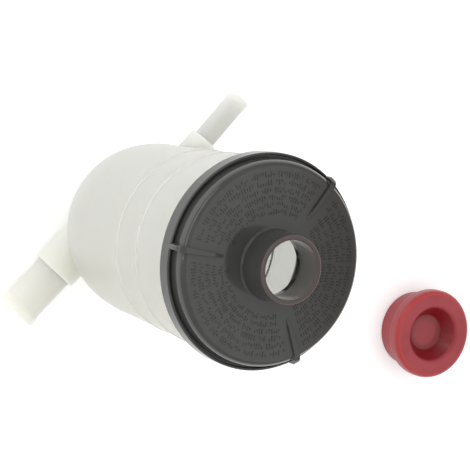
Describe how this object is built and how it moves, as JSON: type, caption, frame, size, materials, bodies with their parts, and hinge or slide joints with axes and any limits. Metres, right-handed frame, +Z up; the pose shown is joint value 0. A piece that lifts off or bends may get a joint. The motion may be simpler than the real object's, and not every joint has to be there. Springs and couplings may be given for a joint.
{
  "type": "power steering reservoir",
  "caption": "Translucent moulded fluid reservoir with a bottom suction pipe, a side return pipe, a dark ribbed cover with filler neck, and its push-on rubber cap lying beside it.",
  "frame": {"origin": "centre of the sump's flat base, on the tank's axis", "axes": "+Z up along the tank's axis, out of the filler neck; the suction pipe points 231 degrees round from +X and 10 degrees down, the return pipe 53 degrees round and 8 degrees up"},
  "size_m": [0.2465, 0.1362, 0.1598],
  "materials": {
    "tank_plastic": "satin",
    "cover_plastic": "satin",
    "cap_rubber": "satin",
    "inner_plastic": "satin",
    "mesh_nylon": "matte"
  },
  "bodies": {
    "root": {"tank_body": "tank_plastic", "cover": "cover_plastic", "filler_cap": "cap_rubber", "baffle": "inner_plastic", "strainer_frame": "inner_plastic", "strainer_mesh": "mesh_nylon"}
  },
  "joints": []
}
